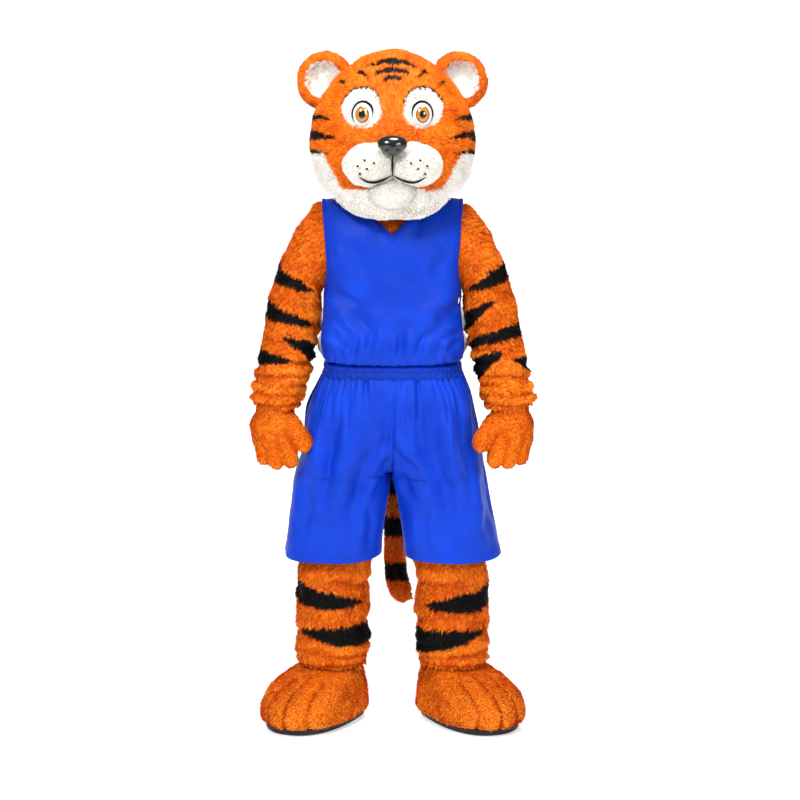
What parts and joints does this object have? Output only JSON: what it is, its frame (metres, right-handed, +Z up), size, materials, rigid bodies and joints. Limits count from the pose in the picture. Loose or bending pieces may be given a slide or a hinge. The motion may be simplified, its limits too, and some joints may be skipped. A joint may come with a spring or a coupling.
{
  "type": "tiger mascot costume",
  "caption": "Full-body tiger costume in its worn pose: hollow plush suit, foam head, gloves, soled boots and tail, with a sleeveless jersey and gathered shorts.",
  "frame": {"origin": "midway between the wearer's shoulders, 1540 mm above the floor that the soles rest on; the wearer carries the costume there", "axes": "+Z up, the costume faces -Y, +X is towards the wearer's left hand"},
  "size_m": [0.854, 0.5731, 2],
  "materials": {
    "orange_fur": "short dense orange plush with black stripes",
    "white_fur": "short white plush",
    "blue_knit": "smooth royal-blue polyester knit, slight sheen",
    "white_knit": "smooth white polyester knit",
    "sole_rubber": "matt black",
    "nose_plastic": "gloss black",
    "eye_plastic": "gloss white dome with a printed amber iris and black pupil"
  },
  "bodies": {
    "root": {"suit_front_left": "orange_fur", "sleeve_left": "orange_fur", "leg_left": "orange_fur", "glove_left": "orange_fur", "boot_left": "orange_fur", "ear_left": "orange_fur", "sole_left": "sole_rubber", "jersey_side_left": "white_knit", "armband_left": "blue_knit", "shorts_front_left": "blue_knit", "shorts_back_left": "blue_knit", "ear_inner_left": "white_fur", "muzzle_left": "white_fur", "eye_patch_left": "white_fur", "eye_left": "eye_plastic", "suit_front_right": "orange_fur", "sleeve_right": "orange_fur", "leg_right": "orange_fur", "glove_right": "orange_fur", "boot_right": "orange_fur", "ear_right": "orange_fur", "sole_right": "sole_rubber", "jersey_side_right": "white_knit", "armband_right": "blue_knit", "shorts_front_right": "blue_knit", "shorts_back_right": "blue_knit", "ear_inner_right": "white_fur", "muzzle_right": "white_fur", "eye_patch_right": "white_fur", "eye_right": "eye_plastic", "suit_back": "orange_fur", "tail": "orange_fur", "jersey_front": "blue_knit", "jersey_back": "blue_knit", "neckband": "blue_knit", "waistband": "blue_knit", "head_face": "orange_fur", "head_back": "orange_fur", "chin": "white_fur", "nose": "nose_plastic"}
  },
  "joints": []
}
